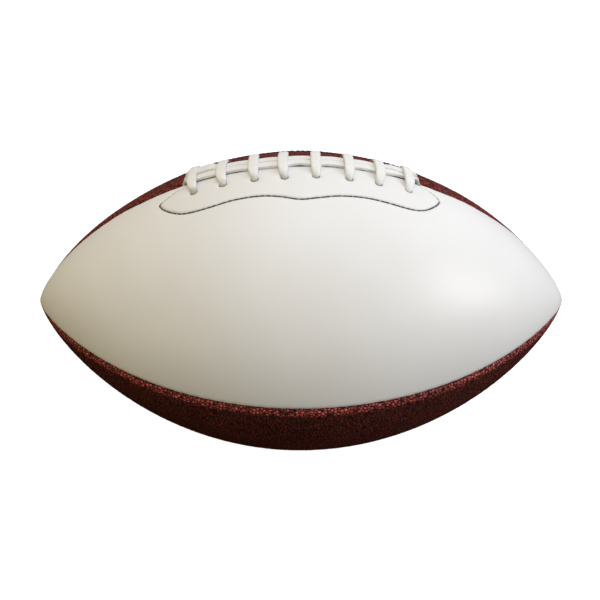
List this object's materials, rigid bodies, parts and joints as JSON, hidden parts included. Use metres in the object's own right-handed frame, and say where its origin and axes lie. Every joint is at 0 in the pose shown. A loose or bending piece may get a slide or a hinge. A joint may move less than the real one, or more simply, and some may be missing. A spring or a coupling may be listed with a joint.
{
  "type": "american football",
  "caption": "Stitched four-panel American football with one smooth white panel, three pebbled panels, raised laces, a lined cover and an inflated bladder with a needle valve.",
  "frame": {"origin": "centre of the ball, halfway between its tips and on its long axis", "axes": "+X along the ball's long axis from tip to tip; +Z from the centre to the lace seam, so the laces face up; -Y to the seam between the white panel and the panel under it"},
  "size_m": [0.2842, 0.16, 0.1631],
  "materials": {
    "white_panel": "smooth white coated leather, satin",
    "brown_leather": "pebble-grained dark red-brown leather, semi-gloss",
    "lining_fabric": "laminated cotton lining, matte",
    "seam_thread": "waxed lockstitch thread",
    "patch_canvas": "woven canvas reinforcement, matte",
    "dark_thread": "dark grey twisted thread",
    "lace": "white composite lace, satin",
    "tongue_leather": "plain undyed split leather, matte",
    "bladder_rubber": "moulded butyl bladder, matte",
    "valve_rubber": "moulded black rubber",
    "core_rubber": "soft self-sealing rubber"
  },
  "bodies": {
    "root": {"front_panel": "white_panel", "back_panel": "brown_leather", "lower_front_panel": "brown_leather", "lower_back_panel": "brown_leather", "front_lining": "lining_fabric", "back_lining": "lining_fabric", "lower_front_lining": "lining_fabric", "lower_back_lining": "lining_fabric", "lace_seam_thread": "seam_thread", "front_seam_thread": "seam_thread", "back_seam_thread": "seam_thread", "bottom_seam_thread": "seam_thread", "front_lace_patch": "patch_canvas", "back_lace_patch": "patch_canvas", "front_patch_stitching": "dark_thread", "back_patch_stitching": "dark_thread", "cross_lacing": "lace", "front_long_lace": "lace", "back_long_lace": "lace", "tongue": "tongue_leather", "bladder": "bladder_rubber", "valve_body": "valve_rubber", "valve_core": "core_rubber"}
  },
  "joints": []
}
